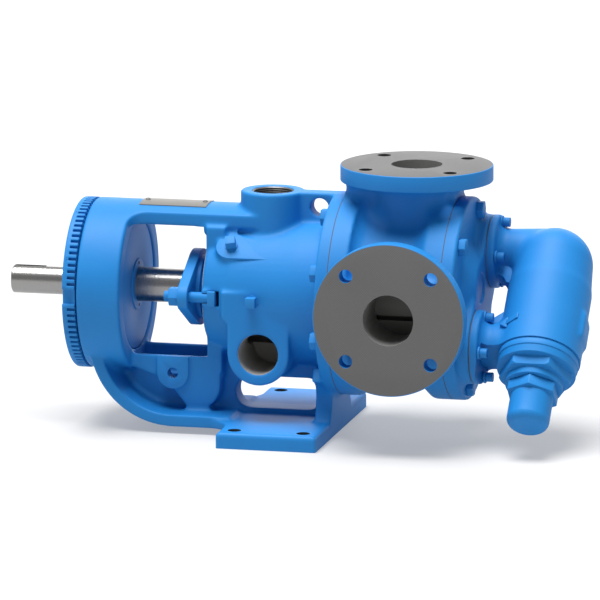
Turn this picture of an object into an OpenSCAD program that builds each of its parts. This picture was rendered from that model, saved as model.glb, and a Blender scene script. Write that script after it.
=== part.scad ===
// Internal gear pump with a foot-mounted bearing bracket, a packed stuffing box and a relief valve on its head.
// The origin is the centre of the four foot holes, on the underside of the foot.
// +X runs along the shaft from the drive end to the head, +Y to the rear and +Z up.

/* [Foot and bracket] */
// Height of the shaft axis above the base
shaft_h = 139.7; // [136:0.1:145]
// Length of the foot along the shaft
foot_x = 101.6; // [100:0.1:106]
// Width of the foot across the shaft
foot_y = 235; // [228:1:250]
// Thickness of the foot
foot_t = 15.9; // [14:0.1:18]
// Spacing of the foot holes along the shaft
foot_hole_x = 69.85; // [64:0.05:72]
// Spacing of the foot holes across the shaft
foot_hole_y = 203.2; // [196:0.1:206]
// Diameter of the foot holes
foot_hole_d = 13.5; // [11:0.1:16]
// Radius of the drive-end barrel
barrel_r = 85.75; // [84:0.05:88]
// Length of the drive-end barrel
barrel_l = 44.2; // [42:0.1:48]
// Place of the barrel's inboard face on the shaft axis
barrel_x = -157.3; // [-160:0.1:-155]
// Place of the stuffing box face on the shaft axis
box_x = -79.4; // [-81:0.1:-78]
// Half width of the rail over the window
rail_half = 31.75; // [28:0.05:33]
// Half width of the curved arm under the barrel
arm_half = 58; // [52:1:60]
// Thickness of the curved arm
arm_t = 12; // [10:0.5:14]

/* [Casing] */
// Width of the casing and head flanges outside the rotor's bore
flange_land = 25.3; // [24:0.1:28]
// Length of the casing along the shaft
casing_l = 114.6; // [112:0.1:118]
// Thickness of the casing wall between its flanges
casing_wall = 10.7; // [8:0.1:12]
// Radius of the rotor
rotor_r = 76.15; // [75.5:0.05:76.5]
// Radius of the port bores
port_r = 25.4; // [22:0.1:27]
// Radius of the port flanges
port_flange_r = 76.2; // [74:0.1:78]
// Thickness of the port flanges
port_flange_t = 15.9; // [14:0.1:18]
// Distance of the port faces from the shaft axis
port_reach = 133.35; // [130:0.05:138]
// Diameter of the port bolt circle
port_pcd = 120.65; // [118:0.05:122]
// Diameter of the port bolt holes
port_hole_d = 13.6; // [12:0.1:16]

/* [Gears] */
// Tooth module
tooth_module = 9.525; // [9.4:0.005:9.6]
// Number of rotor teeth
rotor_teeth = 14; // [14:1:14]
// Number of idler teeth
idler_teeth = 10; // [10:1:10]
// Pressure angle
pressure_angle = 25; // [24:0.5:26]
// Backlash along the pitch circle
backlash = 0.35; // [0.3:0.05:0.6]
// Radius of the rotor teeth at their inner tips
rotor_tip_r = 61; // [60.9:0.1:61.6]
// Radius of the idler teeth at their tips
idler_tip_r = 55.5; // [54:0.1:56]
// Radius of the idler between its teeth
idler_root_r = 41.2; // [40:0.1:41.4]
// Thickness of the disc that carries the rotor teeth
rotor_disc_t = 22; // [20:0.5:24]

/* [Shaft] */
// Radius of the shaft at the coupling
shaft_end_r = 14.2875; // [13.5:0.0125:14.9]
// Radius of the shaft through the packing
shaft_r = 17.45; // [17:0.05:18]
// Place of the drive end of the shaft
shaft_x = -287.2; // [-300:0.1:-275]
// Width of the keyway
key_w = 6.35; // [5:0.05:8]
// Length of the keyway
key_l = 34; // [28:1:35]
// Radius of the idler pin
pin_r = 14.2875; // [13.5:0.0125:15]

/* [Stuffing box] */
// Thickness of one packing ring
packing_w = 9.5; // [9:0.1:10]
// Number of packing rings
packing_count = 5; // [5:1:5]
// Distance of the gland bolts from the shaft axis
gland_bolt_y = 57; // [56:0.5:58]
// Radius of the gland bolts
gland_bolt_r = 5.3; // [4.8:0.1:5.6]
// Thickness of the gland plate
gland_t = 10.2; // [8:0.1:12]

/* [Relief valve] */
// Distance of the valve flange centres from the shaft axis, on each row axis
valve_port_yz = 40.8; // [39:0.1:42]
// Place of the valve axis on the shaft axis
valve_x = 261.6; // [260:0.1:264]
// Outer radius of the valve body
valve_r = 42; // [41:0.5:43]
// Radius of the bore that guides the poppet
valve_bore_r = 31; // [29:0.5:32]
// Radius of the valve flanges
valve_flange_r = 37; // [36:0.5:38]
// Largest lift of the poppet
poppet_lift = 8; // [4:0.5:9]

/* [Fasteners] */
// Width across flats of the head and bracket bolts
bolt_af = 15.9; // [14:0.1:17]
// Radius of the head and bracket bolt shanks
bolt_r = 4.75; // [4:0.05:5]
// Distance of their bolt circle from the edge of the flanges
bolt_edge = 12.7; // [12:0.1:13]
// Number of bracket bolts
bracket_bolt_count = 8; // [8:1:8]
// Number of head bolts
head_bolt_count = 6; // [6:1:6]

/* [Hidden] */
$fn = 48;
fit = 0.05;
free_gap = 0.3;
gasket_t = 0.8;
edge = 2.3;
head_h = 7;
cut = 1;
port_x = 127.6;
port_step = 92;
barrel_end = barrel_x - barrel_l;
casing_x = 57.2;
casing_end = casing_x + casing_l;
head_flange_t = 12.7;
head_x = casing_end;
head_pad_x = head_x + 25;
casing_bore_r = rotor_r + 0.15;
casing_body_r = casing_bore_r + casing_wall;
flange_r = casing_bore_r + flange_land;
bolt_circle_r = flange_r - bolt_edge;
bolt_room = 11.9;
box_root_r = bolt_circle_r - bolt_room;
bracket_flange_t = 12;
bracket_flange_x = casing_x - bracket_flange_t;
spigot_end = 77.8;
rotor_x = spigot_end + 0.2;
tooth_x = rotor_x + rotor_disc_t;
tooth_end = head_x - 0.3;
gear_offset = (rotor_teeth - idler_teeth) * tooth_module / 2;
rotor_pitch_r = rotor_teeth * tooth_module / 2;
idler_pitch_r = idler_teeth * tooth_module / 2;
mesh_angle = 135;
bushing_r = pin_r + 4.8;
carrier_r = 65.9;
bearing_x = -192;
bearing_w = 30.2;
bearing_bore_r = 15;
seal_r = bearing_bore_r - 0.1;
bearing_r = 36;
race_in_r = 21.5;
race_out_r = 29.5;
ball_r = 6.2;
ball_count = 11;
end_ring_x = -215.8;
end_ring_w = 13;
stuffing_r = shaft_r + packing_w;
stuffing_end = -12;
washer_t = 1.5;
packing_x = stuffing_end - washer_t - packing_count * packing_w - 0.1;
gland_x = -101.6;
nose_end = packing_x;
slot_x = -72;
slot_end = -60;
top_boss_x = -19.2;
top_boss_z = 101.6;
boss_r = 31.4;
jacket_hole_r = 20.35;
top_boss_r = rail_half + 0.4;
side_boss_z = -53.7;
side_boss_y = 68;
eye_x = 30.4;
eye_z = 87;
eye_r = 9.25;
plate_x = -152.6;
plate_l = 68.8;
plate_half = 18;
plate_t = 0.8;
arm_cx = -110;
arm_cz = 92;
arm_out_r = 85;
arm_low = arm_cz - arm_out_r;
drain_x = -114;
drain_z = 57.3;
drain_r = 5.5;
trough_top = 74.4;
valve_flange_x = head_pad_x + gasket_t;
valve_flange_t = 7.5;
valve_port_s = valve_port_yz * sqrt(2);
neck_r = 22.5;
elbow_s = -42.6;
elbow_r = 38.5;
seat_s = -6;
seat_r = 22;
body_end_s = 69;
bonnet_s = body_end_s + gasket_t;
bonnet_hex_s = 85;
bonnet_hex_end = 95.6;
collar_end = 103;
cap_s = collar_end + gasket_t;
cap_hex_end = 114.8;
cap_end = 149;
poppet_s = seat_s + 0.3;
spring_s = 18;
spring_end = 78;
spring_r = 21;
wire_r = 3;
spring_turns = 6;
guide_s = spring_end;
screw_r = 7.9;

// Involute of an angle, in degrees
function involute(a) = tan(a) * 180 / PI - a;

// Half angle that an involute tooth spans at radius r
function half_tooth(r, base_r, half) =
    half + involute(pressure_angle) - involute(acos(min(1, base_r / max(r, base_r))));

// Point on a circle
function polar(r, a) = [r * cos(a), r * sin(a)];

// Points of an arc, from angle a to angle b
function arc(cx, cy, r, a, b, n = 10) =
    [for (i = [0:n]) [cx + r * cos(a + (b - a) * i / n), cy + r * sin(a + (b - a) * i / n)]];

// Solid of revolution about the shaft axis, from points of radius and place along it
module turned(profile) {
    translate([0, 0, shaft_h])
        rotate([0, 90, 0])
            rotate_extrude($fn = 96)
                polygon(profile);
}

// Cylinder about an axis parallel to the shaft, from place x, length l
module rod(x, l, r, y = 0, z = 0) {
    translate([x, y, shaft_h + z])
        rotate([0, 90, 0])
            cylinder(r = r, h = l);
}

// Ring about the shaft axis
module ring(x, l, outer, inner) {
    difference() {
        rod(x, l, outer);
        rod(x - cut, l + 2 * cut, inner);
    }
}

// Outline in the plane of the shaft and the vertical, as thick as two times half
module side_plate(half, y = 0) {
    translate([0, y + half, 0])
        rotate([90, 0, 0])
            linear_extrude(2 * half)
                children();
}

// Outline in the plane across the shaft, from place x, length l
module cross_plate(x, l) {
    translate([x, 0, 0])
        rotate([90, 0, 90])
            linear_extrude(l)
                children();
}

// Cylinder from the front at height z, with its front face at y
module front_rod(x, z, r, y, l) {
    translate([x, y + l, z])
        rotate([90, 0, 0])
            cylinder(r = r, h = l);
}

// Hexagon head or nut on an axis parallel to the shaft
module hex_rod(x, l, af, y = 0, z = 0, turn = 0) {
    translate([x, y, shaft_h + z])
        rotate([0, 90, 0])
            rotate(turn)
                cylinder(r = af / sqrt(3), h = l, $fn = 6);
}

// Frame of the relief valve: its +Z runs from the upper flange towards the cap
module valve_frame() {
    translate([valve_x, 0, shaft_h])
        rotate([135, 0, 0])
            children();
}

// Plan outline of the foot
module foot_plan() {
    square([foot_x, foot_y], center = true);
}

module foot() {
    difference() {
        union() {
            linear_extrude(foot_t - edge)
                foot_plan();
            hull() {
                translate([-foot_x / 2, -foot_y / 2, foot_t - edge - 0.5])
                    cube([foot_x, foot_y, 0.5]);
                translate([-foot_x / 2 + edge, -foot_y / 2 + edge, foot_t - 0.5])
                    cube([foot_x - 2 * edge, foot_y - 2 * edge, 0.5]);
            }
        }
        foot_holes();
    }
}

module foot_holes() {
    for (sx = [-1, 1], sy = [-1, 1])
        translate([sx * foot_hole_x / 2, sy * foot_hole_y / 2, -cut])
            cylinder(d = foot_hole_d, h = foot_t + 2 * cut);
}

// Curved flange of the arm, from the barrel down to the foot
module arm_flange() {
    inner_r = arm_out_r - arm_t;
    intersection() {
        side_plate(arm_half)
            polygon(concat(
                [[barrel_end + 6, arm_cz + 14]],
                arc(arm_cx, arm_cz, arm_out_r, 180, 270, 24),
                [[-foot_x / 2 + cut, arm_low], [-foot_x / 2 + cut, arm_low + arm_t]],
                arc(arm_cx, arm_cz, inner_r, 270, 180, 24),
                [[barrel_end + 6 + arm_t, arm_cz + 14]]));
        union() {
            rod(barrel_end, barrel_l, barrel_r);
            translate([barrel_end, -arm_half, 0])
                cube([-foot_x / 2 + cut - barrel_end, 2 * arm_half, shaft_h - barrel_r + 24]);
        }
    }
}

// Curved gusset that widens the arm into the foot pads
module arm_gusset() {
    intersection() {
        translate([0, 0, arm_low])
            linear_extrude(arm_t - 3)
                for (s = [-1, 1])
                    polygon(concat(
                        [[-foot_x / 2 + cut, 0], [-foot_x / 2 + cut, s * (arm_half + 24)]],
                        [for (p = arc(0, 0, 22, 0, 90, 8))
                            [-foot_x / 2 - 22 + p[0], s * (arm_half + 22 - p[1])]],
                        [[-foot_x / 2 - 22, 0]]));
        translate([-foot_x, -foot_y / 2, 0])
            cube([foot_x, foot_y, foot_t]);
    }
}

// Upright web in the plane of the shaft, with the oval opening under the stuffing box
module web() {
    half = 13;
    difference() {
        side_plate(half)
            polygon(concat(
                [[barrel_end + 12, arm_cz + 10]],
                arc(arm_cx, arm_cz, arm_out_r - 4, 180, 270, 20),
                [[foot_x / 2, arm_low + 4], [foot_x / 2, shaft_h - 50], [-60, shaft_h - 50],
                    [-66, 62], [barrel_x, 62], [barrel_x, arm_cz + 10]]));
        side_plate(half + cut)
            hull() {
                for (sx = [-39, 19])
                    translate([sx, 37])
                        circle(r = 16);
            }
    }
}

// Upright leg under the mounting flange, waisted above the foot
module leg() {
    top_z = 59;
    top_half = sqrt(pow(flange_r, 2) - pow(shaft_h - top_z, 2));
    side = concat(
        arc(top_half + 20, 42, 41, 246, 180, 10),
        [[41 + 1, 46], [46, 53], [54, 58], [top_half - 0.5, top_z + 0.5], [top_half - 10, 72]]);
    cross_plate(foot_x / 2 - 17, 17)
        polygon(concat(side, [for (i = [len(side) - 1:-1:0]) [-side[i][0], side[i][1]]]));
}

// Open drip trough under the window, with a rounded end by the stuffing box
module trough() {
    half = 33;
    end_r = 25;
    difference() {
        union() {
            side_plate(half)
                polygon(concat(
                    [[barrel_x - 6, trough_top], [barrel_x - 6, 64]],
                    [[drain_x - 6, 48]],
                    arc(-66 - end_r, trough_top - end_r - 4, end_r, 250, 360, 10),
                    [[-66, trough_top]]));
            side_plate(3, -half) {
                translate([drain_x, drain_z])
                    circle(r = 15.7);
                translate([drain_x - 15.7, drain_z])
                    square([31.4, trough_top - drain_z]);
            }
        }
        translate([barrel_x, -half + 6, drain_z - 5])
            cube([-72 - barrel_x, 2 * half - 12, 30]);
        front_rod(drain_x, drain_z, drain_r, -half - 4, 14);
    }
}

// Barrel that holds the bearing carrier, with the rail over the window
module barrel_and_rail() {
    turned([
        [carrier_r - 4, barrel_end], [barrel_r - 1.5, barrel_end], [barrel_r, barrel_end + 1.5],
        [barrel_r, barrel_x - 2], [barrel_r - 2, barrel_x], [carrier_r + 1.5, barrel_x],
        [carrier_r + fit, barrel_x - 1.5], [carrier_r - 4, barrel_x - 1.5]]);
    intersection() {
        rod(barrel_x - cut, top_boss_x - barrel_x, barrel_r);
        union() {
            translate([barrel_x - cut, -rail_half, shaft_h + 66.7])
                cube([top_boss_x - barrel_x, 2 * rail_half, 30]);
            translate([box_x - 8, -rail_half, shaft_h + 63.7])
                cube([8 + cut, 2 * rail_half, 10]);
        }
    }
}

// Front outline of the plug block and the side jacket port boss
module side_boss_outline() {
    z = shaft_h + side_boss_z;
    polygon(concat(
        [[-57, shaft_h + 8.4], [-57, shaft_h - 19], [-55, shaft_h - 21], [-52.6, shaft_h - 22],
            [top_boss_x - boss_r, shaft_h - 25]],
        arc(top_boss_x, z, boss_r, 180, 360, 24),
        [[top_boss_x + boss_r, shaft_h - 12], [top_boss_x + boss_r - 12, shaft_h + 8.4]]));
}

// Stuffing box body, with the mounting flange and the spigot that locates the casing
module stuffing_box_solid() {
    turned([
        [0, box_x], [56, box_x], [58, box_x + 2], [66, -50], [box_root_r - 5, 15],
        [box_root_r - 4, bracket_flange_x - 7], [box_root_r - 2, bracket_flange_x - 2],
        [box_root_r, bracket_flange_x],
        [flange_r, bracket_flange_x], [flange_r, casing_x],
        [casing_bore_r - fit, casing_x], [casing_bore_r - fit, spigot_end], [0, spigot_end]]);
    // wall from the stuffing box face up to the rail
    translate([box_x, -37, shaft_h + 40])
        cube([20, 74, 28]);
    // block that carries the front plug and the side jacket port
    side_plate(side_boss_y / 2, -side_boss_y / 2)
        side_boss_outline();
    // top jacket port boss
    translate([top_boss_x, 0, shaft_h])
        cylinder(r = top_boss_r, h = top_boss_z);
    // web from the top boss to the mounting flange, with the lifting eye
    difference() {
        side_plate(10)
            polygon([[top_boss_x, shaft_h + 60], [casing_x - 2, shaft_h + 60],
                [casing_x - 2, shaft_h + top_boss_z - 4], [casing_x - 6, shaft_h + top_boss_z],
                [top_boss_x, shaft_h + top_boss_z]]);
        translate([eye_x, 20, shaft_h + eye_z])
            rotate([90, 0, 0])
                cylinder(r = eye_r, h = 40);
    }
    // raised pad of the upper plug
    translate([-51.5, 0, shaft_h])
        rotate([41, 0, 0])
            hull() {
                cylinder(r = 16, h = 67.5, $fn = 32);
                translate([26, 0, 0])
                    cylinder(r = 8, h = 67.5, $fn = 32);
            }
}

// What is bored and milled out of the bracket
module bracket_cuts() {
    // stuffing box and shaft passage
    turned([[0, box_x - cut], [stuffing_r + fit, box_x - cut], [stuffing_r + fit, stuffing_end],
        [shaft_r + 1.5, stuffing_end], [shaft_r + 1.5, 38],
        [27, 38], [27, spigot_end + cut], [0, spigot_end + cut]]);
    // bore of the bearing carrier
    rod(barrel_end - cut, barrel_l + cut - 1.5, carrier_r + fit);
    // heating jacket round the stuffing box
    turned([[37, -52], [50, -52], [54, -46], [56, 14], [50, 22], [37, 22]]);
    // jacket ports
    translate([top_boss_x, 0, shaft_h + 45])
        cylinder(r = jacket_hole_r, h = 60);
    front_rod(top_boss_x, shaft_h + side_boss_z, jacket_hole_r, -side_boss_y - cut, 62);
    // slots for the gland bolts
    for (s = [-1, 1])
        translate([0, s * gland_bolt_y, shaft_h]) {
            translate([box_x - cut, -14, -gland_bolt_r - 0.4])
                cube([9, 28, 2 * gland_bolt_r + 0.8]);
            translate([slot_x, -14, -8])
                cube([slot_end - slot_x, 28, 16]);
        }
    // bolt holes of the mounting flange
    for (i = [0:bracket_bolt_count - 1])
        rod(bracket_flange_x - cut, 2 * bracket_flange_t, bolt_r + 0.4,
            bolt_circle_r * sin(22.5 + i * 360 / bracket_bolt_count),
            bolt_circle_r * cos(22.5 + i * 360 / bracket_bolt_count));
    // pockets in the leg for the heads of the two lowest bolts
    for (a = [-1, 1])
        rod(bracket_flange_x - 26, 26 + fit, 9.6,
            a * bolt_circle_r * sin(157.5), bolt_circle_r * cos(157.5));
    plug_holes();
    foot_holes();
}

// Tapped holes of the two pipe plugs
module plug_holes() {
    translate([-51.5, 0, shaft_h])
        rotate([41, 0, 0])
            translate([0, 0, 54])
                cylinder(r = 6.5, h = 20);
    front_rod(-25, shaft_h, 6.5, -side_boss_y - cut, 12);
}

module bracket() {
    color("steelblue")
        difference() {
            union() {
                barrel_and_rail();
                arm_flange();
                arm_gusset();
                foot();
                web();
                leg();
                trough();
                stuffing_box_solid();
            }
            bracket_cuts();
        }
}

module bracket_bushing() {
    color("dimgray")
        ring(38, spigot_end - 38, 27, shaft_r + fit);
}

// Neck of a port in the casing: +Z runs out through the flange
module port_neck() {
    hull() {
        translate([-33, -32, 40])
            cube([69, 64, 10]);
        translate([-30, -32, port_reach - port_flange_t - 2])
            cube([66, 64, 2]);
    }
    cylinder(r = 43, h = port_reach - 1);
    translate([-casing_l / 2 - 5, -25, 40])
        cube([40, 50, port_reach - port_flange_t - 42]);
    translate([0, 0, port_reach - port_flange_t])
        cylinder(r = port_flange_r, h = port_flange_t, $fn = 96);
}

// Bore and bolt holes of a port
module port_cuts() {
    translate([0, 0, port_step])
        cylinder(r = port_r, h = port_reach - port_step + cut);
    translate([0, 0, 50])
        cylinder(r = port_r - 1, h = port_step - 49);
    for (a = [45:90:315])
        rotate(a)
            translate([port_pcd / 2, 0, port_reach - port_flange_t - cut])
                cylinder(d = port_hole_d, h = port_flange_t + 2 * cut);
}

// Place of the two ports: straight up and to the front
module port_places() {
    translate([port_x, 0, shaft_h]) {
        children();
        rotate([90, 0, 0])
            children();
    }
}

module casing() {
    color("steelblue")
        difference() {
            union() {
                turned([[0, casing_x + gasket_t], [flange_r, casing_x + gasket_t],
                    [flange_r, casing_x + 12], [flange_r - 6, casing_x + 17],
                    [casing_body_r + 2, casing_x + 30], [casing_body_r, casing_x + 42],
                    [casing_body_r + 3, casing_end - 32], [flange_r - 6, casing_end - 26],
                    [flange_r, casing_end - 20], [flange_r, casing_end - gasket_t],
                    [0, casing_end - gasket_t]]);
                port_places()
                    port_neck();
            }
            rod(casing_x - cut, casing_l + 2 * cut, casing_bore_r);
            port_places()
                port_cuts();
            for (i = [0:bracket_bolt_count - 1])
                rod(casing_x - cut, 22, bolt_r,
                    bolt_circle_r * sin(22.5 + i * 360 / bracket_bolt_count),
                    bolt_circle_r * cos(22.5 + i * 360 / bracket_bolt_count));
            for (i = [0:head_bolt_count - 1])
                rod(casing_end - 21, 22, bolt_r,
                    -bolt_circle_r * sin(45 + i * 360 / head_bolt_count),
                    bolt_circle_r * cos(45 + i * 360 / head_bolt_count));
        }
}

// Flat ring gasket with its bolt holes, turned to the bolt circle that it seals
module flange_gasket(x, count, first, side) {
    color("saddlebrown")
        difference() {
            ring(x, gasket_t, flange_r - 0.4, casing_bore_r + 0.2);
            for (i = [0:count - 1])
                rod(x - cut, gasket_t + 2 * cut, bolt_r + 0.6,
                    side * bolt_circle_r * sin(first + i * 360 / count),
                    bolt_circle_r * cos(first + i * 360 / count));
        }
}

module bracket_gasket() {
    flange_gasket(casing_x, bracket_bolt_count, 22.5, 1);
}

module head_gasket() {
    flange_gasket(casing_end - gasket_t, head_bolt_count, 45, -1);
}

// Outline of the crescent that parts the two gears
module crescent_outline() {
    outer = rotor_tip_r - 0.5;
    inner = idler_tip_r + 0.3;
    half = 62;
    difference() {
        intersection() {
            circle(r = outer, $fn = 96);
            polygon(concat([[0, 0]], arc(0, 0, 2 * outer, 180 - half, 180 + half, 8)));
        }
        translate([gear_offset, 0])
            circle(r = inner, $fn = 96);
    }
}

module head() {
    color("steelblue")
        difference() {
            union() {
                turned([[0, head_x], [flange_r, head_x], [flange_r, head_x + head_flange_t - 1],
                    [flange_r - 1, head_x + head_flange_t], [0, head_x + head_flange_t]]);
                cross_plate(head_x + 4, head_pad_x - head_x - 4)
                    translate([0, shaft_h])
                        rotate(45)
                            union() {
                                square([2 * valve_port_s, 2 * valve_flange_r], center = true);
                                for (s = [-1, 1])
                                    translate([s * valve_port_s, 0])
                                        circle(r = valve_flange_r);
                            }
                idler_place()
                    rotate([0, 90, 0])
                        translate([0, 0, head_x + head_flange_t - cut])
                            cylinder(r1 = 48, r2 = 28, h = head_pad_x - head_x - head_flange_t + cut);
                translate([0, 0, shaft_h])
                    rotate([90, 0, 90])
                        translate([0, 0, tooth_x + 0.5])
                            rotate(mesh_angle)
                                linear_extrude(head_x - tooth_x)
                                    crescent_outline();
            }
            idler_place()
                rotate([0, 90, 0])
                    translate([0, 0, head_x - cut])
                        cylinder(r = pin_r, h = 40);
            for (s = [-1, 1])
                rod(head_x - cut, 40, 17, s * valve_port_yz, s * valve_port_yz);
            for (i = [0:head_bolt_count - 1]) {
                y = -bolt_circle_r * sin(45 + i * 360 / head_bolt_count);
                z = bolt_circle_r * cos(45 + i * 360 / head_bolt_count);
                rod(head_x - cut, 40, bolt_r + 0.4, y, z);
                rod(head_x + head_flange_t, 40, 12, y, z);
            }
            valve_bolt_places()
                translate([0, 0, head_pad_x - 16])
                    cylinder(r = 4, h = 17);
        }
}

// Place of the idler axis, offset from the shaft axis towards the angle between the ports
module idler_place() {
    translate([0, -gear_offset * sin(45), shaft_h + gear_offset * cos(45)])
        children();
}

// Places of the four bolts of each valve flange, along the shaft axis
module valve_bolt_places() {
    for (s = [-1, 1], a = [0:90:270])
        translate([0, s * valve_port_yz, shaft_h + s * valve_port_yz])
            rotate([a, 0, 0])
                translate([0, 30, 0])
                    rotate([0, 90, 0])
                        children();
}

// Hexagon bolt along the shaft, with its head at x and its shank towards side
module hex_bolt(x, y, z, length, side) {
    hex_rod(side > 0 ? x - head_h : x, head_h, bolt_af, y, z, 30);
    rod(side > 0 ? x - cut : x - length, length + cut, bolt_r, y, z);
}

module bracket_bolts() {
    color("steelblue")
        for (i = [0:bracket_bolt_count - 1])
            hex_bolt(bracket_flange_x,
                bolt_circle_r * sin(22.5 + i * 360 / bracket_bolt_count),
                bolt_circle_r * cos(22.5 + i * 360 / bracket_bolt_count), 30, 1);
}

module head_bolts() {
    color("steelblue")
        for (i = [0:head_bolt_count - 1])
            hex_bolt(head_x + head_flange_t,
                -bolt_circle_r * sin(45 + i * 360 / head_bolt_count),
                bolt_circle_r * cos(45 + i * 360 / head_bolt_count), 30, -1);
}

module shaft() {
    color("silver")
        difference() {
            turned([[0, shaft_x], [shaft_end_r - 1, shaft_x], [shaft_end_r, shaft_x + 1],
                [shaft_end_r, end_ring_x - 0.4], [seal_r, end_ring_x - 0.4], [seal_r, bearing_x - 11],
                [bearing_bore_r, bearing_x - 11],
                [bearing_bore_r, bearing_x + bearing_w], [shaft_r, bearing_x + bearing_w],
                [shaft_r, tooth_x - 2], [0, tooth_x - 2]]);
            translate([shaft_x - cut, -key_w / 2, shaft_h + shaft_end_r - key_w / 2])
                cube([key_l + cut, key_w, key_w]);
        }
}

// Gap between two prongs of the rotor, centred on angle 0
module rotor_gap() {
    base_r = rotor_pitch_r * cos(pressure_angle);
    slack = backlash / 2 / rotor_pitch_r * 180 / PI;
    steps = 8;
    flank = [for (i = [0:steps])
        let (r = rotor_tip_r - 0.5 + (rotor_r + 1 - rotor_tip_r) * i / steps)
        [r, half_tooth(r, base_r, 90 / rotor_teeth + slack)]];
    polygon(concat(
        [polar(rotor_tip_r - 2, -flank[0][1])],
        [for (p = flank) polar(p[0], -p[1])],
        [for (i = [steps:-1:0]) polar(flank[i][0], flank[i][1])],
        [polar(rotor_tip_r - 2, flank[0][1])]));
}

module rotor() {
    color("dimgray")
        difference() {
            turned([[0, rotor_x], [rotor_r, rotor_x], [rotor_r, tooth_end], [rotor_tip_r, tooth_end],
                [rotor_tip_r, tooth_x], [0, tooth_x]]);
            cross_plate(tooth_x, tooth_end - tooth_x + cut)
                translate([0, shaft_h])
                    rotate(mesh_angle)
                        for (i = [0:rotor_teeth - 1])
                            rotate(i * 360 / rotor_teeth)
                                rotor_gap();
            turned([[0, rotor_x - cut], [shaft_r, rotor_x - cut], [shaft_r, tooth_x - 2],
                [0, tooth_x - 2]]);
        }
}

// Outline of the idler gear, with a tooth on angle 0
module idler_outline() {
    base_r = idler_pitch_r * cos(pressure_angle);
    slack = backlash / 2 / idler_pitch_r * 180 / PI;
    steps = 8;
    flank = [for (i = [0:steps])
        let (r = idler_root_r + (idler_tip_r - idler_root_r) * i / steps)
        [r, half_tooth(r, base_r, 90 / idler_teeth - slack)]];
    polygon([for (t = [0:idler_teeth - 1])
        let (c = t * 360 / idler_teeth)
        each concat(
            [for (p = flank) polar(p[0], c - p[1])],
            [for (i = [steps:-1:0]) polar(flank[i][0], c + flank[i][1])])]);
}

module idler() {
    color("dimgray")
        difference() {
            idler_place()
                rotate([90, 0, 90])
                    translate([0, 0, tooth_x + free_gap])
                        rotate(mesh_angle)
                            linear_extrude(tooth_end - tooth_x - free_gap)
                                idler_outline();
            idler_place()
                rotate([0, 90, 0])
                    translate([0, 0, tooth_x - cut])
                        cylinder(r = bushing_r, h = casing_l);
        }
}

module idler_bushing() {
    color("dimgray")
        difference() {
            idler_place()
                rotate([0, 90, 0])
                    translate([0, 0, tooth_x + free_gap])
                        cylinder(r = bushing_r, h = tooth_end - tooth_x - free_gap);
            idler_place()
                rotate([0, 90, 0])
                    translate([0, 0, tooth_x - cut])
                        cylinder(r = pin_r + fit, h = casing_l);
        }
}

module idler_pin() {
    color("silver")
        idler_place()
            rotate([0, 90, 0])
                translate([0, 0, tooth_x + free_gap])
                    cylinder(r = pin_r, h = head_pad_x - tooth_x - free_gap - 2);
}

// Carrier of the ball bearing, with the notched adjusting flange at the drive end
module bearing_carrier() {
    slot_pitch = 360 / 84;
    color("steelblue")
        difference() {
            turned([
                [56, end_ring_x], [barrel_r - 1, end_ring_x], [barrel_r, end_ring_x + 1],
                [barrel_r, end_ring_x + end_ring_w], [carrier_r, end_ring_x + end_ring_w],
                [carrier_r, barrel_x - 3], [carrier_r - 1.5, barrel_x - 1.5],
                [shaft_r + 8, barrel_x - 1.5], [shaft_r + 8, bearing_x + bearing_w],
                [bearing_r, bearing_x + bearing_w], [bearing_r, bearing_x - 6], [56, bearing_x - 6]]);
            for (i = [0:83])
                if (abs(i * slot_pitch) > 6 && abs(i * slot_pitch - 360) > 6)
                    translate([0, 0, shaft_h])
                        rotate([-i * slot_pitch, 0, 0])
                            translate([end_ring_x + 5.2, -barrel_r - 2, -1.45])
                                cube([7.9, 6, 2.9]);
            translate([0, 0, shaft_h])
                linear_extrude(15, center = true)
                    polygon([[end_ring_x - cut, -barrel_r - 2], [end_ring_x - cut, -barrel_r + 5],
                        [end_ring_x + 9, -barrel_r + 5], [end_ring_x + end_ring_w + cut, -barrel_r + 2],
                        [end_ring_x + end_ring_w + cut, -barrel_r - 2]]);
            carrier_screw_holes();
        }
}

// Tapped holes of the set screws that lock the carrier
module carrier_screw_holes() {
    for (a = [0, 120, 240])
        translate([0, 0, shaft_h])
            rotate([a, 0, 0])
                translate([end_ring_x - cut, 0, 74])
                    rotate([0, 90, 0])
                        cylinder(r = 3, h = end_ring_w + 2 * cut);
}

module carrier_set_screws() {
    color("dimgray")
        for (a = [0, 120, 240])
            translate([0, 0, shaft_h])
                rotate([a, 0, 0])
                    translate([end_ring_x + 1.2, 0, 74])
                        rotate([0, 90, 0])
                            difference() {
                                cylinder(r = 3, h = end_ring_w);
                                translate([0, 0, -cut])
                                    cylinder(r = 1.7, h = 5, $fn = 6);
                            }
}

module bearing_end_cap() {
    color("steelblue")
        turned([[24, end_ring_x + 3], [56, end_ring_x + 3], [56, bearing_x - 6], [bearing_r, bearing_x - 6],
            [bearing_r, bearing_x], [race_out_r + 1, bearing_x], [race_out_r + 1, bearing_x - 8],
            [24, bearing_x - 8]]);
}

module outboard_seal() {
    color("black")
        turned([[seal_r + fit, end_ring_x + 3], [24, end_ring_x + 3], [24, end_ring_x + 11],
            [seal_r + 3, end_ring_x + 11], [seal_r + fit, end_ring_x + 9]]);
}

module inboard_seal() {
    color("black")
        turned([[shaft_r + fit, barrel_x - 2.5], [shaft_r + 8, barrel_x - 2.5],
            [shaft_r + 8, barrel_x - 0.5], [shaft_r + 3, barrel_x], [shaft_r + fit, barrel_x]]);
}

module bearing_outer_race() {
    color("silver")
        difference() {
            ring(bearing_x, bearing_w, bearing_r, race_out_r);
            ball_track();
        }
}

module bearing_inner_race() {
    color("silver")
        difference() {
            ring(bearing_x, bearing_w, race_in_r, bearing_bore_r);
            ball_track();
        }
}

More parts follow.
